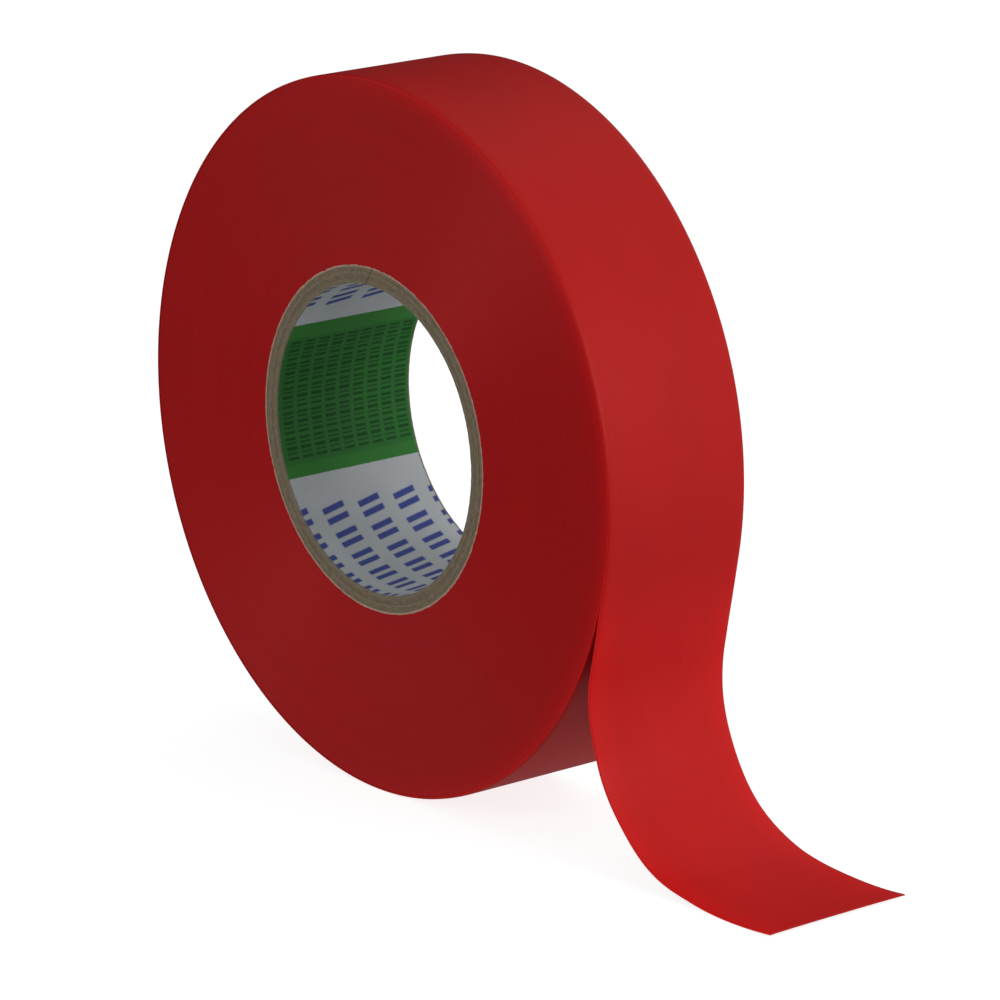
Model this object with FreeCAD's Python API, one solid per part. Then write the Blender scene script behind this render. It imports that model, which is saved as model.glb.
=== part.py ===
# Roll of PVC electrical tape on a paper core, standing on its rim, with its free end hanging down to the table.
#
# Millimetres and degrees. The origin is the middle of the core's bore, +Y runs along the bore, away from the side where
# the free end hangs to the right, and +Z is up. The tape is one strip. Its buried turns are stuck to each
# other and act as one ring, so they are one solid. The outermost turn and the free end are the strip itself,
# a film over its adhesive, and follow one path that is measured by station: 0 where the strip leaves the
# roll, below 0 on the roll, and above 0 along the free end.
import FreeCAD, Part
import math
import os

# The strip
TAPE_WIDTH = 19.0
FILM = 0.17
ADHESIVE = 0.03
TAPE = FILM + ADHESIVE
TURNS = 106

# The core, from the bore outwards: a printed liner, boards, and a cover that the tape starts on
BORE_R = 17.5
LINER = 0.12
BOARD_COUNT = 4
BOARD = 0.44
COVER = 0.12
CORE_R = BORE_R + LINER + BOARD_COUNT * BOARD + COVER

# Each layer of the core is a strip wound at a slant, whose edges meet in a butt seam. Angles around the roll
# are measured from +X towards +Z, and each layer's seam is a step further round than the one inside it.
SEAM_GAP = 0.3
SEAM_SLANT = 30
SEAM_MIDDLE = 73.8
SEAM_STEP = -0.45
SEAM_CUT_MARGIN = 2.0

# The free end: it leaves the roll on the right, drops, sweeps outwards and lies on the table. Its foot is
# a little lower than the roll's rim, so that the roll leans on it.
PEEL_ANGLE = math.radians(-12.3)
SWEEP_R = 17.0
SWEEP_ANGLE = math.radians(92)
FOOT_R = 54.0
FOOT_ANGLE = math.radians(16)
FOOT_LOWER = 0.25

# Two bends let the free end move. The strip is parted there, so that each piece can turn.
PEEL_BEND = 3.0
SWEEP_BEND_SHARE = 0.5
BEND_GAP = 0.3

ROLL_R = CORE_R + TURNS * TAPE
FRONT = -TAPE_WIDTH / 2
SAME_PLACE = 1e-9
ORIGIN = FreeCAD.Vector(0, 0, 0)
Y_AXIS = FreeCAD.Vector(0, 1, 0)


def disc(radius):
    """A plain disc of the tape's width around the bore's axis. Its face closes well away from the paper's seams."""
    body = Part.makeCylinder(radius, TAPE_WIDTH, FreeCAD.Vector(0, FRONT, 0), Y_AXIS)
    body.rotate(ORIGIN, Y_AXIS, 180 - SEAM_MIDDLE)
    return body


def core_layer(inner, thickness, position):
    """One layer of the core: a tube parted by its butt seam, a little further round in each layer."""
    length = 2 * TAPE_WIDTH
    height = CORE_R - BORE_R + 2 * SEAM_CUT_MARGIN
    corner = FreeCAD.Vector(-SEAM_GAP / 2, -length / 2, BORE_R - SEAM_CUT_MARGIN)
    seam = Part.makeBox(SEAM_GAP, length, height, corner)
    seam.rotate(ORIGIN, FreeCAD.Vector(0, 0, 1), -SEAM_SLANT)
    seam.rotate(ORIGIN, Y_AXIS, 90 - SEAM_MIDDLE - SEAM_STEP * position)
    return disc(inner + thickness).cut(disc(inner)).cut(seam)


class StripPath:
    """The line of the strip's outer face, as straight and round stretches that meet without a corner."""

    def __init__(self, x, z, heading, station):
        self.stretches = []
        self.end = (x, z, heading, station)

    def add(self, length, curvature):
        """Continues the path. A positive curvature turns it anticlockwise, seen from the front."""
        start = self.end
        self.stretches.append((start, length, curvature))
        self.end = (*self.along(start, length, curvature), start[3] + length)

    def along(self, start, length, curvature):
        x, z, heading, _ = start
        if not curvature:
            return x + length * math.cos(heading), z + length * math.sin(heading), heading
        later = heading + length * curvature
        x += (math.sin(later) - math.sin(heading)) / curvature
        z -= (math.cos(later) - math.cos(heading)) / curvature
        return x, z, later

    def point(self, station, depth):
        """The point at a station, at a depth under the strip's outer face, on the front side."""
        for start, length, curvature in self.stretches:
            if station <= start[3] + length + SAME_PLACE:
                break
        x, z, heading = self.along(start, station - start[3], curvature)
        return FreeCAD.Vector(x + depth * math.sin(heading), FRONT, z - depth * math.cos(heading))

    def edges(self, first, last, depth):
        """The path from one station to another, at a depth under the strip's outer face."""
        made = []
        for start, length, curvature in self.stretches:
            low = max(first, start[3])
            high = min(last, start[3] + length)
            if high - low < SAME_PLACE:
                continue
            middle = self.point((low + high) / 2, depth)
            ends = self.point(low, depth), self.point(high, depth)
            curve = Part.Arc(ends[0], middle, ends[1]) if curvature else Part.LineSegment(*ends)
            made.append(curve.toShape())
        return made

    def strip(self, first, last, top, bottom):
        """A length of the strip between two stations and two depths, over the tape's whole width."""
        start_end = Part.LineSegment(self.point(first, top), self.point(first, bottom)).toShape()
        far_end = Part.LineSegment(self.point(last, top), self.point(last, bottom)).toShape()
        outline = self.edges(first, last, top) + self.edges(first, last, bottom) + [start_end, far_end]
        return slab(outline)


def slab(outline):
    """The outline's inside, over the tape's whole width."""
    wire = Part.Wire(Part.__sortEdges__(outline))
    return Part.Face(wire).extrude(FreeCAD.Vector(0, TAPE_WIDTH, 0))


def strip_path():
    """One whole turn on the roll, as two half circles that step out by one thickness, then the free end."""
    start_r = ROLL_R - TAPE
    halfway_r = ROLL_R - TAPE / 2
    first_half_r = (start_r + halfway_r) / 2
    second_half_r = (halfway_r + ROLL_R) / 2
    turn = math.pi * (first_half_r + second_half_r)
    heading = PEEL_ANGLE - math.pi / 2
    path = StripPath(start_r * math.cos(PEEL_ANGLE), start_r * math.sin(PEEL_ANGLE), heading, -turn)
    path.add(math.pi * first_half_r, -1 / first_half_r)
    path.add(math.pi * second_half_r, -1 / second_half_r)
    # The strip runs straight off the roll, as far as it takes for the foot to come down on the table.
    rim = (start_r - first_half_r) * math.sin(PEEL_ANGLE) - first_half_r
    _, z, _, _ = path.end
    sweep_drop = SWEEP_R * (math.cos(heading + SWEEP_ANGLE) - math.cos(heading))
    foot_drop = FOOT_R * (1 - math.cos(heading + SWEEP_ANGLE))
    foot_top = rim - FOOT_LOWER + TAPE
    straight = (z - foot_top - sweep_drop - foot_drop) / -math.sin(heading)
    path.add(straight, 0)
    path.add(SWEEP_R * SWEEP_ANGLE, 1 / SWEEP_R)
    path.add(FOOT_R * FOOT_ANGLE, 1 / FOOT_R)
    return path, -turn, straight + SWEEP_BEND_SHARE * SWEEP_R * SWEEP_ANGLE


def buried_turns(path, turn_start):
    """All the turns under the outermost one. Its rim steps out by one thickness where that turn begins."""
    rim = path.edges(turn_start, 0, TAPE)
    step = Part.LineSegment(path.point(turn_start, TAPE), path.point(0, TAPE)).toShape()
    return slab(rim + [step]).cut(disc(CORE_R))


def core_parts():
    """The core's layers by name, from the bore outwards."""
    boards = [(f"core_board_{i + 1}", BOARD) for i in range(BOARD_COUNT)]
    layers = [("core_liner", LINER), *boards, ("core_cover", COVER)]
    made = {}
    radius = BORE_R
    for position, (name, thickness) in enumerate(layers):
        made[name] = core_layer(radius, thickness, position)
        radius += thickness
    return made


def strip_parts():
    """The strip's pieces by name: the buried turns, then film and adhesive of each piece of the outer strip."""
    path, turn_start, sweep_bend = strip_path()
    made = {"buried_turns": buried_turns(path, turn_start)}
    pieces = {
        "outer_turn": (turn_start, PEEL_BEND - BEND_GAP / 2),
        "tail_root": (PEEL_BEND + BEND_GAP / 2, sweep_bend - BEND_GAP / 2),
        "tail_end": (sweep_bend + BEND_GAP / 2, path.end[3]),
    }
    for name, (first, last) in pieces.items():
        made[f"{name}_film"] = path.strip(first, last, 0, FILM)
        made[f"{name}_adhesive"] = path.strip(first, last, FILM, TAPE)
    for name, station in (("peel_bend", PEEL_BEND), ("sweep_bend", sweep_bend)):
        spot = path.point(station, TAPE / 2)
        print(f"{name}: x {spot.x:.3f}, z {spot.z:.3f}")
    print(f"roll radius {ROLL_R:.2f}, free end {path.end[3]:.2f} long")
    return made


os.makedirs("parts", exist_ok=True)
for node, shape in {**core_parts(), **strip_parts()}.items():
    shape.exportStep(f"parts/{node}.step")
    print(f"{node}: {shape.Volume:.1f} mm3, {len(shape.Solids)} solid, valid {shape.isValid()}")
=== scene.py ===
"""Looks for the roll of PVC electrical tape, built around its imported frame.

Shapes are worked out in millimetres in the row frame and turned into metres when a mesh is made. The strip of
tape follows one path that is measured by station: 0 where it leaves the roll, below 0 on the roll, and above 0
along the free end. A depth is how far a point lies under the strip's outer face.
"""
import math

import bpy
import numpy as np
from mathutils import Matrix, Vector


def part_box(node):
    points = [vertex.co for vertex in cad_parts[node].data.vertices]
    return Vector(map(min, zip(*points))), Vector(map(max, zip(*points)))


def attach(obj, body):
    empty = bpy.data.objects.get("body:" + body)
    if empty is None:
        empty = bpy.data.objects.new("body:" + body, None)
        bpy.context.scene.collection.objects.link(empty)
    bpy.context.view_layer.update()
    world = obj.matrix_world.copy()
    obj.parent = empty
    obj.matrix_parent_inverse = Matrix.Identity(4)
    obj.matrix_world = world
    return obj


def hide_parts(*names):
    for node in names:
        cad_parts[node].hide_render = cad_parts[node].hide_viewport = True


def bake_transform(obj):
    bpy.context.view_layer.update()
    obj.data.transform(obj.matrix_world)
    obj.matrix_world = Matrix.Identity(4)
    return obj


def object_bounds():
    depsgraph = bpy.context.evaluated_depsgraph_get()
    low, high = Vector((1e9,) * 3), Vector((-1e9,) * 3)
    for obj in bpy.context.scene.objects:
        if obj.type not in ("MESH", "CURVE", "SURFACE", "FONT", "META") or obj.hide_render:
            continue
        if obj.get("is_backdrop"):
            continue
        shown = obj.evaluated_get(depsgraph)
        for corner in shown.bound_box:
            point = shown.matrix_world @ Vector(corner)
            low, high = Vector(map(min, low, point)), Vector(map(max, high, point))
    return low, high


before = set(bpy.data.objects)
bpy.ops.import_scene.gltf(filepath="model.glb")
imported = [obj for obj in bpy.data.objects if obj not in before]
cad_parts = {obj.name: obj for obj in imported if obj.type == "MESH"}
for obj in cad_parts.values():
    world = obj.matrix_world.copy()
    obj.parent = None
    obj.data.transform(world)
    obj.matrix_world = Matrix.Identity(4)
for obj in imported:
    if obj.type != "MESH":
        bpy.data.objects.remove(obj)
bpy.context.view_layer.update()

MM = 0.001


# ---------------------------------------------------------------- sizes of the object, from the frame


def radii(node):
    """The least and the greatest distance of a CAD node from the bore's axis."""
    points = np.array([v.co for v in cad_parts[node].data.vertices]) / MM
    away = np.hypot(points[:, 0], points[:, 2])
    return away.min(), away.max()


LAYERS = ["core_liner", "core_board_1", "core_board_2", "core_board_3", "core_board_4", "core_cover"]
HALF_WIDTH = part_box("buried_turns")[1].y / MM
CORE_R = radii("core_cover")[1]
# the strip's thickness, and the film's share of it; the rest is adhesive
TAPE = 0.20
FILM = 0.17
ROLL_R = radii("buried_turns")[1] + TAPE
TURNS = round((ROLL_R - CORE_R) / TAPE)
# The solid foot is set a little low, so that the roll leans on it. The soft tape lies higher and only touches the
# table, and its end is cut short of the solid one's.
FOOT_EASE = 0.40
CUT_SHORT = 0.20
FOOT_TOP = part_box("tail_end_adhesive")[0].z / MM + TAPE + FOOT_EASE

# The free end, as the CAD has it: where it leaves the roll, its sweep and its foot
PEEL_ANGLE = math.radians(-12.3)
SWEEP_R = 17.0
SWEEP_ANGLE = math.radians(92)
FOOT_R = 54.0
FOOT_ANGLE = math.radians(16)

# The papers' slanted butt seams, a step further round in each layer
SEAM_GAP = 0.16
SEAM_SLANT = math.radians(30)
SEAM_MIDDLE = 73.8
SEAM_STEP = -0.45

# The strip's edges are pressed down a little over the rim of the roll, and its cut edge has a small round.
SHOULDER_WIDTH = 0.90
SHOULDER_DROP = 0.085
SHOULDER_POWER = 2.6
CORNER_R = 0.12

# Painted light: the turns' edges are painted lighter towards the rim on the lit side, standing in for light that comes
# through the film: by how much, how deep from the rim, and on which side of the roll.
RIM_PAINTED_LIGHT, RIM_PAINTED_LIGHT_DEPTH, RIM_PAINTED_LIGHT_SIDE = 0.66, 0.97, math.radians(3)
# From the first to the second of these cosines of the angle to that side, the painted light rises to its full
# strength.
RIM_PAINTED_LIGHT_TURN = (-0.45, 0.60)


# ---------------------------------------------------------------- the strip's path


def smooth(t):
    """A soft step from 0 to 1."""
    t = np.clip(t, 0.0, 1.0)
    return t * t * (3 - 2 * t)


class Path:
    """The line of the strip's outer face, as round and straight stretches that meet without a corner."""

    def __init__(self):
        start_r = ROLL_R - TAPE
        halfway_r = ROLL_R - TAPE / 2
        first_r = (start_r + halfway_r) / 2
        second_r = (halfway_r + ROLL_R) / 2
        heading = PEEL_ANGLE - math.pi / 2
        self.first = -math.pi * (first_r + second_r)
        self.end = (start_r * math.cos(PEEL_ANGLE), start_r * math.sin(PEEL_ANGLE), heading, self.first)
        self.stretches = []
        self.add(math.pi * first_r, -1 / first_r)
        self.add(math.pi * second_r, -1 / second_r)
        sweep_drop = SWEEP_R * (math.cos(heading + SWEEP_ANGLE) - math.cos(heading))
        foot_drop = FOOT_R * (1 - math.cos(heading + SWEEP_ANGLE))
        straight = (self.end[1] - FOOT_TOP - sweep_drop - foot_drop) / -math.sin(heading)
        self.add(straight, 0.0)
        self.add(SWEEP_R * SWEEP_ANGLE, 1 / SWEEP_R)
        self.add(FOOT_R * FOOT_ANGLE, 1 / FOOT_R)
        self.last = self.end[3]

    def add(self, length, curvature):
        """Continues the path. A positive curvature turns it anticlockwise, seen from the front."""
        x, z, heading, station = self.end
        self.stretches.append((x, z, heading, station, curvature))
        x, z, heading = self.along(self.stretches[-1], np.array([length]))
        self.end = (float(x[0]), float(z[0]), float(heading[0]), station + length)

    @staticmethod
    def along(stretch, length):
        """Place and heading after some length along a stretch."""
        x, z, heading, _, curvature = stretch
        if not curvature:
            return x + length * math.cos(heading), z + length * math.sin(heading), heading + 0 * length
        later = heading + length * curvature
        return (
            x + (np.sin(later) - math.sin(heading)) / curvature,
            z - (np.cos(later) - math.cos(heading)) / curvature,
            later,
        )

    def at(self, stations):
        """Place and heading of the outer face at each station."""
        stations = np.asarray(stations, float)
        x, z, heading = (np.empty_like(stations) for _ in range(3))
        starts = [s[3] for s in self.stretches]
        which = np.clip(np.searchsorted(starts, stations, side="right") - 1, 0, len(starts) - 1)
        for i, stretch in enumerate(self.stretches):
            mine = which == i
            x[mine], z[mine], heading[mine] = self.along(stretch, stations[mine] - stretch[3])
        return x, z, heading


path = Path()
STRIP_END = path.last - CUT_SHORT


def shoulder(y):
    """How far the strip's face dips near its two edges."""
    inside = np.clip((HALF_WIDTH - np.abs(y)) / SHOULDER_WIDTH, 0.0, 1.0)
    return SHOULDER_DROP * (1 - inside) ** SHOULDER_POWER


def corner(y, half_width):
    """The small round of the film's own cut edge."""
    t = 1 - np.clip((half_width - np.abs(y)) / CORNER_R, 0.0, 1.0)
    return CORNER_R * (1 - np.sqrt(np.clip(1 - t * t, 0.0, 1.0)))


# ---------------------------------------------------------------- mesh helpers


def build_mesh(name, points, faces, uv, material, sharp=None, smooth_angle=None):
    """A mesh object from points in millimetres, with one UV per point, in millimetres but for the liner's angle."""
    mesh = bpy.data.meshes.new(name)
    mesh.from_pydata((np.asarray(points) * MM).tolist(), [], [list(f) for f in faces])
    mesh.validate()
    loops = np.empty(len(mesh.loops), np.int32)
    mesh.loops.foreach_get("vertex_index", loops)
    layer = mesh.uv_layers.new(name="mm")
    layer.data.foreach_set("uv", np.asarray(uv, np.float32)[loops].ravel())
    mesh.shade_smooth()
    if smooth_angle is not None:
        mesh.set_sharp_from_angle(angle=math.radians(smooth_angle))
    if sharp is not None:
        ends = np.empty(len(mesh.edges) * 2, np.int32)
        mesh.edges.foreach_get("vertices", ends)
        ends = ends.reshape(-1, 2)
        flags = sharp(ends[:, 0], ends[:, 1])
        attribute = mesh.attributes.get("sharp_edge") or mesh.attributes.new("sharp_edge", "BOOLEAN", "EDGE")
        attribute.data.foreach_set("value", flags)
    mesh.materials.append(material)
    mesh.update()
    piece = bpy.data.objects.new(name, mesh)
    bpy.context.scene.collection.objects.link(piece)
    return piece


def loop_faces(rows, ring):
    """Quads of a closed ring of points that is swept over a number of rows."""
    i, k = np.meshgrid(np.arange(rows - 1), np.arange(ring), indexing="ij")
    a, b = i * ring + k, i * ring + (k + 1) % ring
    return np.stack([a, b, b + ring, a + ring], -1).reshape(-1, 4)


def cap_faces(first, ring, flip):
    """Quads that close a swept ring whose second half mirrors its first."""
    half = ring // 2
    k = np.arange(half - 1)
    quads = np.stack([first + k, first + ring - 1 - k, first + ring - 2 - k, first + k + 1], -1)
    return quads[:, ::-1] if flip else quads


class Noise:
    """Smooth seeded noise over a plane, from -1 to 1, that can repeat along u after a whole number of cells.

    Its callers multiply a place by the cells to one unit. What they add to it only picks another part of the noise.
    """

    CELLS = 256

    def __init__(self, seed, repeat=4096):
        self.grid = np.random.default_rng(seed).uniform(-1, 1, (self.CELLS, self.CELLS))
        self.repeat = repeat

    def __call__(self, u, v):
        iu, iv = np.floor(u).astype(int), np.floor(v).astype(int)
        fu, fv = smooth(u - iu), smooth(v - iv)

        def cell(a, b):
            return self.grid[(a % self.repeat) % self.CELLS, b % self.CELLS]

        low = cell(iu, iv) * (1 - fu) + cell(iu + 1, iv) * fu
        high = cell(iu, iv + 1) * (1 - fu) + cell(iu + 1, iv + 1) * fu
        return low * (1 - fv) + high * fv


# ---------------------------------------------------------------- material helpers


class Graph:
    """A material's nodes. Its methods take sockets or plain numbers and give a socket back."""

    def __init__(self, name):
        self.material = bpy.data.materials.new(name)
        self.material.use_nodes = True
        self.tree = self.material.node_tree
        self.shader = self.tree.nodes["Principled BSDF"]
        uv = self.tree.nodes.new("ShaderNodeUVMap")
        uv.uv_map = "mm"
        split = self.tree.nodes.new("ShaderNodeSeparateXYZ")
        self.tree.links.new(uv.outputs["UV"], split.inputs[0])
        self.u, self.v = split.outputs["X"], split.outputs["Y"]

    def put(self, socket, value):
        """Links a socket to a value, or sets it to a plain number or colour."""
        if isinstance(value, bpy.types.NodeSocket):
            self.tree.links.new(value, socket)
        else:
            socket.default_value = value

    def math(self, operation, a, b=0.0, c=0.0):
        """One step of arithmetic."""
        node = self.tree.nodes.new("ShaderNodeMath")
        node.operation = operation
        for socket, value in zip(node.inputs, (a, b, c)):
            self.put(socket, value)
        return node.outputs[0]

    def spread(self, value, low, high, to_low=0.0, to_high=1.0):
        """A value's place between low and high, as a soft step between two others."""
        node = self.tree.nodes.new("ShaderNodeMapRange")
        node.interpolation_type = "SMOOTHSTEP"
        for key, x in zip(("Value", "From Min", "From Max", "To Min", "To Max"), (value, low, high, to_low, to_high)):
            self.put(node.inputs[key], x)
        return node.outputs["Result"]

    def noise(self, u_scale, v_scale, seed, detail=2.0, roughness=0.5):
        """Noise from 0 to 1 over the UV, with that many cells to the millimetre each way."""
        joined = self.tree.nodes.new("ShaderNodeCombineXYZ")
        self.put(joined.inputs[0], self.math("MULTIPLY", self.u, u_scale))
        self.put(joined.inputs[1], self.math("MULTIPLY", self.v, v_scale))
        joined.inputs[2].default_value = seed
        node = self.tree.nodes.new("ShaderNodeTexNoise")
        node.inputs["Scale"].default_value = 1.0
        node.inputs["Detail"].default_value = detail
        node.inputs["Roughness"].default_value = roughness
        self.tree.links.new(joined.outputs[0], node.inputs["Vector"])
        return node.outputs["Fac"]

    def painted_rim_light(self):
        """Painted light: how much lighter the turns' edges are painted towards the rim on the lit side, for light on
        the outer face that comes through.
        """
        place = self.tree.nodes.new("ShaderNodeSeparateXYZ")
        self.put(place.inputs[0], self.tree.nodes.new("ShaderNodeTexCoord").outputs["Object"])
        x, z = place.outputs["X"], place.outputs["Z"]
        radius = self.math("SQRT", self.math("ADD", self.math("POWER", x, 2.0), self.math("POWER", z, 2.0)))
        aside, up = self.math("MULTIPLY", x, math.cos(RIM_PAINTED_LIGHT_SIDE)), self.math("MULTIPLY", z, math.sin(RIM_PAINTED_LIGHT_SIDE))
        lit = self.spread(self.math("DIVIDE", self.math("ADD", aside, up), radius), *RIM_PAINTED_LIGHT_TURN)
        depth = self.math("SUBTRACT", self.math("DIVIDE", radius, MM), ROLL_R)
        near = self.math("EXPONENT", self.math("DIVIDE", self.math("MINIMUM", depth, 0.0), RIM_PAINTED_LIGHT_DEPTH))
        return self.math("MULTIPLY_ADD", self.math("MULTIPLY", near, lit), RIM_PAINTED_LIGHT, 1.0)

    def blend(self, share, a, b):
        """Two colours mixed, with that share of the second."""
        node = self.tree.nodes.new("ShaderNodeMix")
        node.data_type = "RGBA"
        self.put(node.inputs["Factor"], share)
        self.put(node.inputs["A"], a)
        self.put(node.inputs["B"], b)
        return node.outputs["Result"]

    def shade(self, color, factor):
        """A colour made lighter or darker by a factor."""
        node = self.tree.nodes.new("ShaderNodeVectorMath")
        node.operation = "SCALE"
        self.put(node.inputs[0], color if isinstance(color, bpy.types.NodeSocket) else color[:3])
        self.put(node.inputs["Scale"], factor)
        return node.outputs[0]

    def bump(self, height, distance_mm, strength, under=None):
        """A normal that is tilted by a height, on top of another one."""
        node = self.tree.nodes.new("ShaderNodeBump")
        node.inputs["Strength"].default_value = strength
        node.inputs["Distance"].default_value = distance_mm * MM
        self.put(node.inputs["Height"], height)
        if under is not None:
            self.put(node.inputs["Normal"], under)
        return node.outputs["Normal"]

    def finish(self, color, roughness, normal, **constants):
        """Joins the shader up, sets its constant inputs and gives the material back."""
        self.put(self.shader.inputs["Base Color"], color)
        self.put(self.shader.inputs["Roughness"], roughness)
        self.put(self.shader.inputs["Normal"], normal)
        for key, value in constants.items():
            self.shader.inputs[key.replace("_", " ")].default_value = value
        return self.material


def rgb(r, g, b):
    return (r, g, b, 1.0)


# ---------------------------------------------------------------- materials

RED = rgb(0.440, 0.0060, 0.0055)
DEEP_RED = rgb(0.365, 0.0025, 0.0030)
GLOSS_RED = rgb(1.0, 0.12, 0.13)

# How much of the painted rim light the film's cut sides show, and the tone of its cut end
FILM_PAINTED_RIM_LIGHT = 0.8
CUT_END_TONE = 0.85
# Painted light: between these stations the film's colour is painted lighter as it leaves the roll, for light that
# comes through the single layer, and more so in a band along its edges.
COMES_FREE = (-5.0, 9.0)
FREE_PAINTED_LIGHT = 0.20
EDGE_BAND, EDGE_PAINTED_LIGHT = 4.0, 0.14


def film_material():
    """Soft PVC film: satin, with a fine calendered grain and faint lines along the strip."""
    g = Graph("pvc_film")
    cloud = g.noise(0.07, 0.11, seed=3.0, detail=3.0)
    lines = g.noise(0.03, 2.6, seed=8.0, detail=2.0)
    grain = g.noise(7.0, 7.0, seed=1.0, detail=2.0)
    tone = g.math("ADD", g.spread(cloud, 0.25, 0.75, 0.965, 1.03), g.spread(lines, 0.3, 0.7, -0.012, 0.012))
    # painted light: the cut sides are painted lighter towards the rim on the lit side, for light that falls on the
    # face and comes through; the cut end is toned darker
    side = g.spread(g.math("ABSOLUTE", g.v), HALF_WIDTH - 0.030, HALF_WIDTH - 0.008)
    painted_through = g.math("MULTIPLY", g.math("SUBTRACT", g.painted_rim_light(), 1.0), FILM_PAINTED_RIM_LIGHT)
    tone = g.math("MULTIPLY", tone, g.math("MULTIPLY_ADD", side, painted_through, 1.0))
    cut = g.spread(g.u, STRIP_END - 0.020, STRIP_END - 0.005)
    # painted light: off the roll the single layer is painted lighter for light that comes through it, and a little
    # more near the edges
    free = g.spread(g.u, *COMES_FREE)
    near_edge = g.spread(g.math("ABSOLUTE", g.v), HALF_WIDTH - EDGE_BAND, HALF_WIDTH)
    painted_lift = g.math("MULTIPLY_ADD", near_edge, EDGE_PAINTED_LIGHT, FREE_PAINTED_LIGHT)
    tone = g.math("MULTIPLY", tone, g.math("MULTIPLY_ADD", free, painted_lift, 1.0))
    color = g.shade(RED, g.math("MULTIPLY", tone, g.spread(cut, 0.0, 1.0, 1.0, CUT_END_TONE)))
    rough = g.math("ADD", g.spread(cloud, 0.25, 0.75, 0.36, 0.42), g.spread(grain, 0.3, 0.7, -0.03, 0.03))
    normal = g.bump(lines, 0.0035, 0.6)
    normal = g.bump(grain, 0.0020, 0.5, under=normal)
    return g.finish(color, rough, normal, Specular_IOR_Level=0.11)


def edge_material():
    """The edges of the turns: cut film, satin along the turns and hazier across them. U is the radius."""
    g = Graph("turn_edges")
    turns = g.noise(4.3, 0.015, seed=2.0, detail=1.0)
    bands = g.noise(0.55, 0.010, seed=5.0, detail=2.0)
    cloud = g.noise(0.09, 0.05, seed=7.0, detail=2.0)
    tone = g.math("ADD", g.spread(turns, 0.25, 0.75, 0.975, 1.025), g.spread(bands, 0.3, 0.7, -0.015, 0.015))
    tone = g.math("MULTIPLY", tone, g.spread(cloud, 0.3, 0.7, 0.985, 1.015))
    # painted light: the edges' colour is made lighter towards the rim on the lit side
    color = g.shade(DEEP_RED, g.math("MULTIPLY", tone, g.painted_rim_light()))
    rough = g.spread(turns, 0.25, 0.75, 0.40, 0.48)
    scuff = g.noise(1.2, 0.3, seed=4.0, detail=2.0)
    normal = g.bump(scuff, 0.0015, 0.4)
    tangent = g.tree.nodes.new("ShaderNodeTangent")
    tangent.direction_type, tangent.uv_map = "UV_MAP", "mm"
    g.put(g.shader.inputs["Tangent"], tangent.outputs[0])
    return g.finish(color, rough, normal, Specular_IOR_Level=0.5, Specular_Tint=GLOSS_RED, Anisotropic=0.88)


def adhesive_material():
    """The tacky back of the tape: a thin coat that the film's red shows through."""
    g = Graph("adhesive")
    patches = g.noise(0.35, 0.5, seed=11.0, detail=3.0)
    drag = g.noise(3.2, 0.22, seed=12.0, detail=2.0)
    grain = g.noise(5.0, 5.0, seed=13.0, detail=2.0)
    color = g.blend(g.spread(patches, 0.35, 0.7), rgb(0.36, 0.010, 0.010), rgb(0.42, 0.016, 0.014))
    color = g.shade(color, g.spread(drag, 0.3, 0.7, 0.97, 1.03))
    rough = g.spread(patches, 0.3, 0.7, 0.20, 0.34)
    normal = g.bump(drag, 0.006, 0.5)
    normal = g.bump(grain, 0.004, 0.6, under=normal)
    return g.finish(color, rough, normal, Specular_IOR_Level=0.4)


def board_material(name, base, seed):
    """Grey chipboard on its cut edge: short fibres, specks of darker pulp and a slight layering."""
    g = Graph(name)
    pulp = g.noise(1.1, 3.2, seed=seed, detail=4.0, roughness=0.65)
    fibre = g.noise(2.6, 13.0, seed=seed + 1, detail=3.0, roughness=0.6)
    specks = g.noise(5.0, 7.0, seed=seed + 2, detail=2.0)
    tone = g.math("ADD", g.spread(pulp, 0.3, 0.72, 0.79, 1.17), g.spread(fibre, 0.3, 0.7, -0.11, 0.11))
    color = g.shade(base, tone)
    color = g.blend(g.spread(specks, 0.66, 0.74, 0.0, 0.65), color, rgb(0.075, 0.052, 0.034))
    color = g.blend(g.spread(specks, 0.30, 0.24, 0.0, 0.45), color, rgb(0.36, 0.31, 0.24))
    normal = g.bump(pulp, 0.08, 0.6)
    normal = g.bump(fibre, 0.03, 0.7, under=normal)
    return g.finish(color, g.spread(pulp, 0.3, 0.7, 0.82, 0.95), normal, Specular_IOR_Level=0.25)


# The liner's print, in degrees: where it starts, from +X towards +Z, and the rest counted on from there
PRINT_START = 217.0
BAR_PITCH = 11.1
BAR_CELLS = 25
PANEL = (286.4, 348.9)
DASH_START = 8.3
DASH_PITCH = 9.66
DASH_CELLS = 5
# Its rows across the width, in millimetres: pitch, middle and height
BAR_ROWS = (5.07, 0.17, 3.2)
DASH_ROWS = (2.0, 0.1, 1.45)
# The strokes of one cell, as middles and widths in cells, and how far the bars lean over a row
BARS = ((0.26, 0.23), (0.67, 0.23))
BAR_SLANT = 0.30
DASHES = ((0.10, 0.10), (0.27, 0.07), (0.47, 0.13), (0.66, 0.06), (0.85, 0.10))
# How soft an ink's edge is, in cells, in rows and in degrees
STROKE_SOFT = 0.035
ROW_SOFT = 0.03
BAR_SOFT, PANEL_SOFT, FIELD_SOFT = 0.2, 0.12, 0.8
# The band along each cut edge where the print is rubbed off, measured in from the edge
RUBBED = (0.34, 0.16)
# How far an ink's edge strays from side to side, in degrees
INK_STRAYS = 0.5
# How far the rubbed band's edge strays for each of those degrees, in millimetres
RUB_STRAYS = 0.9
# How far the darker field reaches past its dashes, in degrees
FIELD_MARGIN = 1.0
# How well the green and the bare paper cover what is under them, and how much smoother ink is than paper
PANEL_COVER, BARE_COVER, INK_SMOOTHER = 0.985, 0.9, 0.10

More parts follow.
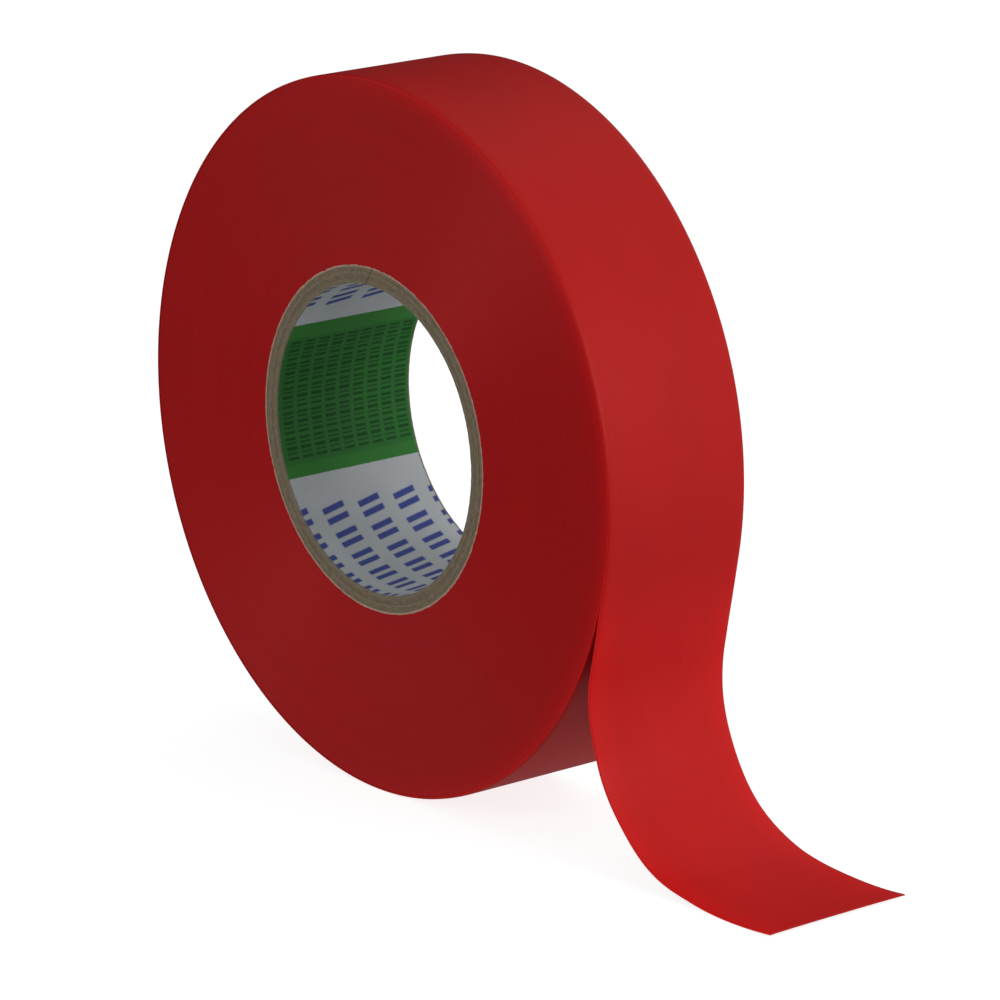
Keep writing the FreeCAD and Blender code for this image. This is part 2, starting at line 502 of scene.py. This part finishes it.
PAPER_WHITE = rgb(0.445, 0.466, 0.478)
BLUE_INK = rgb(0.034, 0.052, 0.255)
PANEL_GREEN = rgb(0.024, 0.176, 0.020)
FIELD_GREEN = rgb(0.016, 0.140, 0.017)
DASH_GREEN = rgb(0.004, 0.056, 0.008)
BARE_PAPER = rgb(0.190, 0.160, 0.115)


def liner_material():
    """White coated paper printed with a green panel and plain bars. U is the angle round the bore."""
    g = Graph("liner_print")
    fibre = g.noise(2.2, 3.4, seed=31.0, detail=3.0)
    cloud = g.noise(0.05, 0.15, seed=32.0, detail=2.0)
    ink_edge = g.math("MULTIPLY", g.math("SUBTRACT", g.noise(2.8, 5.0, seed=33.0, detail=2.0), 0.5), INK_STRAYS)
    tone = g.math("MULTIPLY", g.spread(fibre, 0.3, 0.7, 0.96, 1.03), g.spread(cloud, 0.3, 0.7, 0.95, 1.03))
    white = g.shade(PAPER_WHITE, tone)

    # two whole turns are added to keep the angle above 0
    angle = g.math("MODULO", g.math("ADD", g.u, 720.0 - PRINT_START), 360.0)
    ragged = g.math("ADD", angle, ink_edge)

    def between(value, low, high, soft):
        rise = g.spread(value, low - soft, low + soft)
        return g.math("MULTIPLY", rise, g.spread(value, high - soft, high + soft, 1.0, 0.0))

    # whole rows and cells are added to keep a place above 0 before only its fraction is kept
    def rows(pitch, middle, height):
        """Rows across the width: how far a point is from its row's middle, and whether it is on the row."""
        place = g.math("DIVIDE", g.math("ADD", g.v, 40.5 * pitch - middle), pitch)
        off = g.math("SUBTRACT", g.math("FRACT", place), 0.5)
        half = height / pitch / 2
        return off, g.spread(g.math("ABSOLUTE", off), half - ROW_SOFT, half + ROW_SOFT, 1.0, 0.0)

    def strokes(low, count, pitch, slant, off, layout):
        """Plain strokes that repeat from cell to cell, as middles and widths within a cell."""
        place = g.math("DIVIDE", g.math("SUBTRACT", ragged, low), pitch)
        leaning = g.math("FRACT", g.math("ADD", g.math("ADD", place, 40.0), g.math("MULTIPLY", off, slant)))
        ink = 0.0
        for middle, width in layout:
            away = g.math("ABSOLUTE", g.math("SUBTRACT", leaning, middle))
            stroke = g.spread(away, width / 2 - STROKE_SOFT, width / 2 + STROKE_SOFT, 1.0, 0.0)
            ink = g.math("MAXIMUM", ink, stroke)
        return g.math("MULTIPLY", ink, between(ragged, low, low + count * pitch, BAR_SOFT))

    wear = g.spread(fibre, 0.22, 0.42, 0.75, 0.97)
    off, on_row = rows(*BAR_ROWS)
    blue = strokes(0.0, BAR_CELLS, BAR_PITCH, BAR_SLANT, off, BARS)
    blue = g.math("MULTIPLY", g.math("MULTIPLY", blue, on_row), wear)
    panel = between(ragged, *PANEL, PANEL_SOFT)
    off, on_row = rows(*DASH_ROWS)
    field_low = PANEL[0] + DASH_START
    field_high = field_low + DASH_CELLS * DASH_PITCH
    dashes = strokes(field_low, DASH_CELLS, DASH_PITCH, 0.0, off, DASHES)
    dashes = g.math("MULTIPLY", g.math("MULTIPLY", dashes, on_row), wear)
    color = g.blend(blue, white, BLUE_INK)
    field = between(angle, field_low - FIELD_MARGIN, field_high + FIELD_MARGIN, FIELD_SOFT)
    green = g.shade(g.blend(field, PANEL_GREEN, FIELD_GREEN), g.spread(cloud, 0.3, 0.7, 0.94, 1.05))
    color = g.blend(g.math("MULTIPLY", panel, PANEL_COVER), color, green)
    color = g.blend(dashes, color, DASH_GREEN)
    # the print is rubbed off along both cut edges, where the paper's grey brown shows
    from_middle = g.math("ADD", g.math("ABSOLUTE", g.v), g.math("MULTIPLY", ink_edge, RUB_STRAYS))
    rubbed = g.spread(from_middle, HALF_WIDTH - RUBBED[0], HALF_WIDTH - RUBBED[1])
    color = g.blend(g.math("MULTIPLY", rubbed, BARE_COVER), color, BARE_PAPER)
    inked = g.math("MAXIMUM", blue, panel)
    rough = g.math("SUBTRACT", g.spread(fibre, 0.3, 0.7, 0.46, 0.56), g.math("MULTIPLY", inked, INK_SMOOTHER))
    return g.finish(color, rough, g.bump(fibre, 0.010, 0.5), Specular_IOR_Level=0.1)


BOARD_TONES = [(0.195, 0.158, 0.104), (0.178, 0.143, 0.093), (0.200, 0.162, 0.108), (0.184, 0.148, 0.097)]
COVER_TONE = (0.400, 0.262, 0.200)

film = film_material()
edges = edge_material()
adhesive = adhesive_material()
liner_print = liner_material()
boards = [board_material(f"chipboard_{i + 1}", rgb(*tone), 40.0 + 5 * i) for i, tone in enumerate(BOARD_TONES)]
cover_paper = board_material("cover_paper", rgb(*COVER_TONE), 70.0)


# ---------------------------------------------------------------- the wound turns

EDGE_SEGMENTS = 180
# How quickly the rim's dip fades towards the core
RIM_FALLOFF = 1.2
# The turns' edges, in millimetres: how deep they lie in the side face, the grooves between them and how both vary
EDGE_DEPTH = 0.014
GROOVE, GROOVE_VARIES = 0.010, 0.004
TURN_VARIES, BAND_VARIES, WAVE = 0.004, 0.007, 0.005
RIM_ROUND, RIM_ROUND_WIDTH = 0.05, 0.35
# How far a crown wanders between its grooves, in thicknesses of the tape
WANDER = 0.10
# The least step between the innermost rows, which are kept outside the core
LEAST_STEP = 0.012
# How many cells the slow wave has in one turn
WAVES = 6
# The share of the roll's radius at which the texture along the turns has its true length
TRUE_LENGTH_AT = 0.7
# Where the rows of the outer wall lie, in from the strip's edge
WALL_INSETS = np.array([0.05, 0.14, 0.28, 0.46, 0.66, SHOULDER_WIDTH])
turn_noise = Noise(11)
wave_noise = Noise(12, repeat=WAVES)


def growth(theta):
    """The share of one tape thickness that the outer turn has gained after an angle from its start."""
    return np.where(theta < math.pi, (1 - np.cos(theta)) / 4, (3 + np.cos(theta)) / 4)


def wound_turns():
    """All the buried turns as one ring. Each side shows every turn's edge as a low crown between two grooves."""
    n = EDGE_SEGMENTS
    last = 2 * TURNS
    theta = np.linspace(0, 2 * math.pi, n + 1)
    row, j = np.meshgrid(np.arange(last + 1), np.arange(n + 1), indexing="ij")
    at = theta[j]
    nought = 0 * at
    # whole turns of the strip that lie between this place and the path's end, at the same angle
    turn = row / 2 - growth(at)
    # even rows are grooves and odd rows are crowns, which wander a little
    wander = WANDER * turn_noise(turn * 0.9 + 3.3, nought) * (row % 2)
    r = ROLL_R - TAPE * (2 + row / 2 + wander) + TAPE * growth(at)
    r = np.maximum(r, CORE_R + LEAST_STEP * (last - row))
    under_rim = ROLL_R - 2 * TAPE + TAPE * growth(at) - r
    r_side = r - SHOULDER_DROP * np.exp(-under_rim / RIM_FALLOFF)
    groove = np.where(row % 2 == 0, GROOVE + GROOVE_VARIES * turn_noise(turn * 0.7, nought + 9.5), 0.0)
    depth = (
        EDGE_DEPTH
        + groove
        + TURN_VARIES * turn_noise(turn * 1.3 + 50.1, nought + 4.5)
        + BAND_VARIES * turn_noise(turn * 0.09 + 7.7, nought + 1.5)
        + WAVE * wave_noise(at / (2 * math.pi) * WAVES, turn * 0.05)
        + RIM_ROUND * np.exp(-under_rim / RIM_ROUND_WIDTH)
    )
    angle = PEEL_ANGLE - at
    across_x, across_z = np.cos(angle), np.sin(angle)
    count = row.size

    def index(m, k):
        """A point's number: one turn on, a row is the row two above it."""
        wraps = (k == n) & (m >= 2)
        return np.where(wraps, (m - 2) * (n + 1), m * (n + 1) + k)

    quad_row, quad_col = np.meshgrid(np.arange(last), np.arange(n), indexing="ij")
    a, b = index(quad_row, quad_col), index(quad_row, quad_col + 1)
    c, d = index(quad_row + 1, quad_col + 1), index(quad_row + 1, quad_col)
    front = np.stack([a, b, c, d], -1).reshape(-1, 4)

    points, uv = [], []
    for side in (-1, 1):
        place = [r_side * across_x, side * (HALF_WIDTH - depth), r_side * across_z]
        points.append(np.stack(place, -1).reshape(-1, 3))
        uv.append(np.stack([r, -at * ROLL_R * TRUE_LENGTH_AT + 0 * r], -1).reshape(-1, 2))
    faces = [front, front[:, ::-1] + count]

    # A side face's outer and inner loops: once round, then through the two points where the spiral's end steps down.
    once = np.arange(n)
    loop_out = np.concatenate([index(0 * once, once), [n, (n + 1) + n]])
    loop_in = np.concatenate([index(last + 0 * once, once), [(last - 2) * (n + 1), (last - 1) * (n + 1)]])
    # rows of the outer wall across the width, which dip towards the rims as the strip over them does
    wall_y = np.concatenate([WALL_INSETS - HALF_WIDTH, HALF_WIDTH - WALL_INSETS[::-1]])
    flat = np.stack([r * across_x, 0 * r, r * across_z], -1).reshape(-1, 3)
    total = 2 * count

    def wall(first, second):
        """Quads between two loops of points."""
        return np.stack([first, second, np.roll(second, -1), np.roll(first, -1)], -1)

    previous = loop_out
    for y in wall_y:
        ring = flat[loop_out].copy()
        size = np.hypot(ring[:, 0], ring[:, 2])
        ring *= ((size - shoulder(y)) / size)[:, None]
        ring[:, 1] = y
        points.append(ring)
        uv.append(np.stack([size, 0 * size], -1))
        mine = total + np.arange(len(loop_out))
        faces.append(wall(previous, mine))
        previous, total = mine, total + len(loop_out)
    faces.append(wall(previous, loop_out + count))
    inside = np.roll(loop_in, -1)
    faces.append(np.stack([inside, inside + count, loop_in + count, loop_in], -1))

    points = np.concatenate(points)
    used = np.unique(np.concatenate([f.ravel() for f in faces]))
    renumber = np.full(len(points), -1)
    renumber[used] = np.arange(len(used))
    row_of = np.full(len(points), -1)
    row_of[: 2 * count] = np.tile(row.ravel(), 2)
    row_used = row_of[used]

    def along_a_turn(p, q):
        """Edges that run along a crown or a groove stay crisp."""
        gap = np.abs(row_used[p] - row_used[q])
        return (row_used[p] >= 0) & (row_used[q] >= 0) & ((gap == 0) | (gap == 2))

    faces = np.concatenate([renumber[f[:, ::-1]] for f in faces])
    piece = build_mesh("wound_turns", points[used], faces, np.concatenate(uv)[used], edges, along_a_turn)
    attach(piece, "roll")
    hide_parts("buried_turns")


# ---------------------------------------------------------------- the strip: outer turn and free end

EDGE_INSETS = np.array([0.0, 0.004, 0.012, 0.03, 0.06, 0.11, 0.17, 0.24, 0.33, 0.44, 0.58, 0.74, 0.90, 1.3])
ACROSS_MIDDLE = 14
# The adhesive stops a little short of the film's cut edges.
ADHESIVE_INSET = 0.015
# Where the free end is parted into the peel and the rest
SEAM_STATION = 10.0
# The distance between stations of each piece
STEPS = {"outer_turn": 0.72, "peel": 0.18, "free_end": 0.36}
# Two stations in each bend, whose points on the path are worked out below and not used
PEEL_BEND = (2.4, 5.8)
SWEEP_BEND = (15.0, 34.5)
# The share of the rim's dip that is lost off the roll, and after how far
CURL_LOST, CURL_LENGTH = 0.65, 12.0
# How much narrower the pulled tape gets, and the stations between which it narrows and widens again
NARROWER = 0.38
NARROWS, WIDENS = (11.0, 20.0), (26.0, 37.0)
# The free end's unevenness, in millimetres: its cup, its slow swells and the flutter of its edges
CUP, SWELLS, FLUTTER = -0.12, (0.035, 0.025), 0.045
# Their waves, in radians to the millimetre: of the two swells along the strip, of the second across it, of the flutter
SWELL_WAVES, SWELL_SLANT, FLUTTER_WAVE = (0.36, 0.23), 0.16, 0.55
# The unevenness sets in, and the foot evens out a share of it, from a station on and over a length.
SETS_IN, EVENS_OUT, EVENED = (1.0, 16.0), (36.0, 10.0), 0.6
# Two extra stations this far from each end of a piece make neighbours shade alike.
END_STATIONS = (0.03, 0.15)


def across(half_width):
    """Places across the strip, closer together near its edges."""
    middle = np.linspace(-half_width + EDGE_INSETS[-1], half_width - EDGE_INSETS[-1], ACROSS_MIDDLE + 2)[1:-1]
    return np.concatenate([EDGE_INSETS - half_width, middle, half_width - EDGE_INSETS[::-1]])


def curl(station):
    """How much of the rim's dip the strip's edges keep after they leave the roll."""
    return 1 - CURL_LOST * smooth(station / CURL_LENGTH)


def ripple(station, y):
    """The free end's slight unevenness: cupped across, slow swells along it, and edges that wander a little."""
    evened = EVENED * smooth((station - EVENS_OUT[0]) / EVENS_OUT[1])
    free = smooth((station - SETS_IN[0]) / SETS_IN[1]) * (1 - evened)
    at_edge = np.abs(y / HALF_WIDTH) ** 3
    # the numbers that are added within a sine are phases
    swell = SWELLS[0] * np.sin(SWELL_WAVES[0] * station + 0.9)
    swell = swell + SWELLS[1] * np.sin(SWELL_WAVES[1] * station + SWELL_SLANT * y + 2.0)
    flutter = FLUTTER * at_edge * np.sin(FLUTTER_WAVE * station + 1.3 * np.sign(y) + 0.4)
    return free * (CUP * at_edge + swell + flutter)


def narrowing(station, y):
    """The pulled tape is a little narrower along the middle of its free end, on the front side."""
    narrowed = smooth((station - NARROWS[0]) / (NARROWS[1] - NARROWS[0]))
    widened = smooth((station - WIDENS[0]) / (WIDENS[1] - WIDENS[0]))
    return NARROWER * narrowed * (1 - widened) * (HALF_WIDTH - y) / (2 * HALF_WIDTH)


def strip_layer(name, stations, top, bottom, inset, material):
    """A length of one of the strip's layers, as a thin closed solid."""
    half = HALF_WIDTH - inset
    y = across(half)
    x, z, heading = path.at(stations)
    station, yy = np.meshgrid(stations, y, indexing="ij")
    dip = shoulder(yy) * curl(station) - ripple(station, yy)
    tops = top + dip + (corner(yy, half) if top == 0 else 0)
    bottoms = bottom + dip
    depth = np.concatenate([tops, bottoms[:, ::-1]], 1)
    width = np.concatenate([yy, yy[:, ::-1]], 1)
    points = np.stack([
        x[:, None] + depth * np.sin(heading)[:, None],
        width + narrowing(stations[:, None], width),
        z[:, None] - depth * np.cos(heading)[:, None],
    ], -1).reshape(-1, 3)
    along = np.repeat(np.asarray(stations)[:, None], width.shape[1], 1)
    uv = np.stack([along, width], -1).reshape(-1, 2)
    rows, ring = width.shape
    faces = np.concatenate([
        loop_faces(rows, ring)[:, ::-1],
        cap_faces(0, ring, flip=True),
        cap_faces((rows - 1) * ring, ring, flip=False),
    ])
    return build_mesh(name, points, faces, uv, material, smooth_angle=50)


def stations_between(first, last, step):
    """Even stations, with two extra ones close to each end."""
    close, less_close = END_STATIONS
    inner = np.linspace(first, last, max(2, round((last - first) / step)) + 1)[1:-1]
    return np.concatenate([
        [first, first + close, first + less_close], inner, [last - less_close, last - close, last],
    ])


def strip_pieces():
    """Film and adhesive of the outer turn, of the peel and of the rest of the free end."""
    stretches = {
        "outer_turn": (path.first, 0.0, "outer_turn"),
        "peel": (0.0, SEAM_STATION, "tail_root"),
        "free_end": (SEAM_STATION, STRIP_END, "tail_end"),
    }
    made = {}
    for name, (first, last, node) in stretches.items():
        stations = stations_between(first, last, STEPS[name])
        made[name] = (
            strip_layer(f"{name}_tape_film", stations, 0.0, FILM, 0.0, film),
            strip_layer(f"{name}_tape_adhesive", stations, FILM, TAPE, ADHESIVE_INSET, adhesive),
        )
        for piece, layer in zip(made[name], ("film", "adhesive")):
            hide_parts(f"{node}_{layer}")
    return made


def spot(station):
    """A point on the path, half way across the strip, in metres."""
    x, z, _ = path.at([station])
    return (float(x[0]) * MM, 0.0, float(z[0]) * MM)


# ---------------------------------------------------------------- the core

CORE_SEGMENTS = 400
# How much a cut end's corners are rubbed, and the least that any point of an end lies in from the strip's edge
CORNER_RUB = 0.02
LEAST_RECESS = 0.003
# The walls stop just short of the ends, as a share of the width.
WALL_SHARE = 0.985


def core_layer(position, material, name, recess, roughness, slot, wall_rows=12, end_points=5, wall_wave=0.0, over=0.0):
    """One layer of the core, a tube parted by its slanted seam.

    Its cut ends lie a recess deep and are uneven by a roughness, and its bore wall waves a little. Over is how far
    its outer wall reaches past the CAD layer's, under the first turn.
    """
    inner, outer = radii(LAYERS[position])
    outer += over
    wall = np.linspace(-1, 1, wall_rows + 2)[1:-1]
    # the cross-section's loop: front end outwards, outer wall to the back, back end inwards, inner wall to the front
    across_end = (outer - inner) * np.linspace(0, 1, end_points)
    r_loop = np.concatenate([
        inner + across_end, np.full(wall_rows, outer), outer - across_end, np.full(wall_rows, inner),
    ])
    side_loop = np.concatenate([np.full(end_points, -1.0), wall, np.full(end_points, 1.0), wall[::-1]])
    k, r = np.meshgrid(np.arange(CORE_SEGMENTS + 1), r_loop, indexing="ij")
    side = np.broadcast_to(side_loop, r.shape)
    y = side * HALF_WIDTH
    seam = np.radians(SEAM_MIDDLE + SEAM_STEP * position) + np.arcsin(-y * math.tan(SEAM_SLANT) / r)
    gap = SEAM_GAP / r
    angle = seam + gap / 2 + (2 * math.pi - gap) * k / CORE_SEGMENTS
    rough = Noise(100 + position, repeat=4000)
    fine = Noise(200 + position, repeat=4000)
    arc = angle * inner
    at_end = np.abs(side) == 1
    cut = recess + roughness * (0.6 * rough(arc * 2.3 + 40, r * 4.0) + 0.4 * fine(arc * 6.1 + 40, r * 9.0))
    rubbed = CORNER_RUB * ((r == inner) | (r == outer))
    y = np.where(at_end, side * (HALF_WIDTH - np.maximum(cut + rubbed, LEAST_RECESS)), y * WALL_SHARE)
    in_bore = (r == inner) & ~at_end
    radius = r + np.where(in_bore, wall_wave * rough(arc * 0.35 + 90, y * 0.4 + 20), 0.0)
    # the bore's two rims are uneven as well
    on_rim = at_end & (r == inner)
    radius = radius + np.where(on_rim, 0.5 * roughness * fine(arc * 4.0 + 11, y * 0 + 3.5), 0.0)
    points = np.stack([radius * np.cos(angle), y, radius * np.sin(angle)], -1).reshape(-1, 3)
    if slot == "liner_paper":
        uv = np.stack([np.degrees(angle), y], -1).reshape(-1, 2)
    else:
        uv = np.stack([arc, np.where(at_end, r, y)], -1).reshape(-1, 2)
    rows, ring = r.shape
    seam_face = np.arange(ring)
    faces = [*loop_faces(rows, ring), seam_face[::-1], (rows - 1) * ring + seam_face]
    piece = build_mesh(name, points, faces, uv, material, smooth_angle=35)
    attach(piece, "roll")
    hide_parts(LAYERS[position])


# ---------------------------------------------------------------- put it together

wound_turns()
strip = strip_pieces()
for piece in strip["outer_turn"]:
    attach(piece, "roll")
for piece in strip["peel"]:
    spot(PEEL_BEND[0])
    spot(PEEL_BEND[1])
    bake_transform(piece)
for piece in strip["free_end"]:
    spot(SWEEP_BEND[0])
    spot(SWEEP_BEND[1])
    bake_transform(piece)

core_layer(0, liner_print, "core_liner_paper", 0.010, 0.030, "liner_paper", wall_rows=26, end_points=2, wall_wave=0.02)
BOARD_RECESSES = (0.03, 0.05, 0.02, 0.045)
for i, (board, recess) in enumerate(zip(boards, BOARD_RECESSES)):
    core_layer(i + 1, board, f"core_board_layer_{i + 1}", recess, 0.05, "core_board")
core_layer(5, cover_paper, "core_cover_paper", 0.004, 0.02, "cover_paper", end_points=4, over=0.15)


# ---------------------------------------------------------------- floor, light and camera

FLOOR_RADIUS = 8.0
FLOOR_CORNERS = 96
FLOOR_WHITE = rgb(0.38, 0.43, 0.43)
FLOOR_GLOW = 0.83


def floor():
    """A plain pale floor that the roll stands on, with a glow of its own that keeps it near white."""
    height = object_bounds()[0].z
    turn = np.linspace(0, 2 * math.pi, FLOOR_CORNERS, endpoint=False)
    points = [(FLOOR_RADIUS * math.cos(t), FLOOR_RADIUS * math.sin(t), height) for t in turn]
    mesh = bpy.data.meshes.new("floor")
    mesh.from_pydata(points, [], [list(range(FLOOR_CORNERS))])
    material = bpy.data.materials.new("floor_white")
    material.use_nodes = True
    shader = material.node_tree.nodes["Principled BSDF"]
    shader.inputs["Base Color"].default_value = FLOOR_WHITE
    shader.inputs["Roughness"].default_value = 0.75
    shader.inputs["Specular IOR Level"].default_value = 0.2
    shader.inputs["Emission Color"].default_value = rgb(1.0, 1.0, 1.0)
    shader.inputs["Emission Strength"].default_value = FLOOR_GLOW
    mesh.materials.append(material)
    made = bpy.data.objects.new("floor", mesh)
    bpy.context.scene.collection.objects.link(made)
    # The floor is seen and holds the shadows. The light that it would send up comes from floor_bounce below it.
    made.visible_diffuse = False
    made.visible_glossy = False
    made.visible_shadow = False
    made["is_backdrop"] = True


# The world's light, and its change towards a side: the direction, the cosines between which it rises, and the amount
OPEN_LIGHT = 0.385
BRIGHT_SIDE = ((0.45, 0.89, 0.05), 0.15, 0.90, 0.62)
DARK_SIDE = ((-0.93, 0.32, 0.18), 0.52, 0.95, -0.34)
BELOW = ((0.0, 0.0, -1.0), 0.22, 0.55, 0.48)


def studio():
    """Even light from all round, brighter to the right and behind, and darker to the left and below."""
    world = bpy.data.worlds.new("studio")
    world.use_nodes = True
    tree = world.node_tree
    place = tree.nodes.new("ShaderNodeTexCoord").outputs["Generated"]

    def side(direction, low, high, amount):
        """Light that changes by an amount towards one direction."""
        dot = tree.nodes.new("ShaderNodeVectorMath")
        dot.operation = "DOT_PRODUCT"
        tree.links.new(place, dot.inputs[0])
        dot.inputs[1].default_value = direction
        fade = tree.nodes.new("ShaderNodeMapRange")
        fade.interpolation_type = "SMOOTHSTEP"
        for key, value in (("From Min", low), ("From Max", high), ("To Min", 0.0), ("To Max", amount)):
            fade.inputs[key].default_value = value
        tree.links.new(dot.outputs["Value"], fade.inputs["Value"])
        return fade.outputs["Result"]

    def join(operation, a, b):
        node = tree.nodes.new("ShaderNodeMath")
        node.operation = operation
        for socket, value in zip(node.inputs, (a, b)):
            if isinstance(value, bpy.types.NodeSocket):
                tree.links.new(value, socket)
            else:
                socket.default_value = value
        return node.outputs[0]

    light = join("ADD", join("ADD", OPEN_LIGHT, side(*BRIGHT_SIDE)), side(*DARK_SIDE))
    light = join("MULTIPLY", light, join("SUBTRACT", 1.0, side(*BELOW)))
    tree.links.new(light, tree.nodes["Background"].inputs["Strength"])
    tree.nodes["Background"].inputs["Color"].default_value = rgb(1.0, 1.0, 1.0)
    bpy.context.scene.world = world


def soft_light(name, place, size, power, mirrored=True):
    """A rectangular light at a place in the row frame, turned towards the roll. Glossy faces can leave it out."""
    data = bpy.data.lights.new(name, "AREA")
    data.shape, data.size, data.size_y = "RECTANGLE", size[0], size[1]
    data.energy = power
    light = bpy.data.objects.new(name, data)
    light.location = place
    light.rotation_mode = "QUATERNION"
    light.rotation_quaternion = (-Vector(place)).to_track_quat("-Z", "Y")
    light.visible_glossy = mirrored
    bpy.context.scene.collection.objects.link(light)


floor()
studio()
soft_light("key_right", (0.215, 0.036, 0.078), (0.10, 0.12), 0.145)
soft_light("front_fill", (0.10, -0.85, 0.35), (0.40, 0.40), 1.25, mirrored=False)
soft_light("floor_bounce", (0.05, 0.0, -0.35), (0.50, 0.50), 0.36, mirrored=False)
soft_light("front_left", (-0.34, -0.82, 0.19), (0.30, 0.30), 1.2)

# The camera looks down at the roll from the right of its front side, leaning by less than a degree.
AZIMUTH = math.radians(51.202)
ELEVATION = math.radians(15.052)
LEAN = math.radians(-0.848)
DISTANCE = 0.6049
AIM = Vector((10.645, 0.0, -6.402)) * MM
LENS = 197.47
SENSOR = 36.0

back = Vector((
    math.sin(AZIMUTH) * math.cos(ELEVATION),
    -math.cos(AZIMUTH) * math.cos(ELEVATION),
    math.sin(ELEVATION),
))
level = Vector((math.cos(AZIMUTH), math.sin(AZIMUTH), 0.0))
right = level * math.cos(LEAN) + back.cross(level) * math.sin(LEAN)
data = bpy.data.cameras.new("camera")
data.lens, data.sensor_width = LENS, SENSOR
data.clip_start, data.clip_end = 0.01, 50.0
camera = bpy.data.objects.new("camera", data)
turned = Matrix((right, back.cross(right), back)).transposed().to_4x4()
camera.matrix_world = Matrix.Translation(AIM + back * DISTANCE) @ turned
bpy.context.scene.collection.objects.link(camera)
bpy.context.scene.camera = camera
bpy.context.scene.view_settings.view_transform = "Standard"
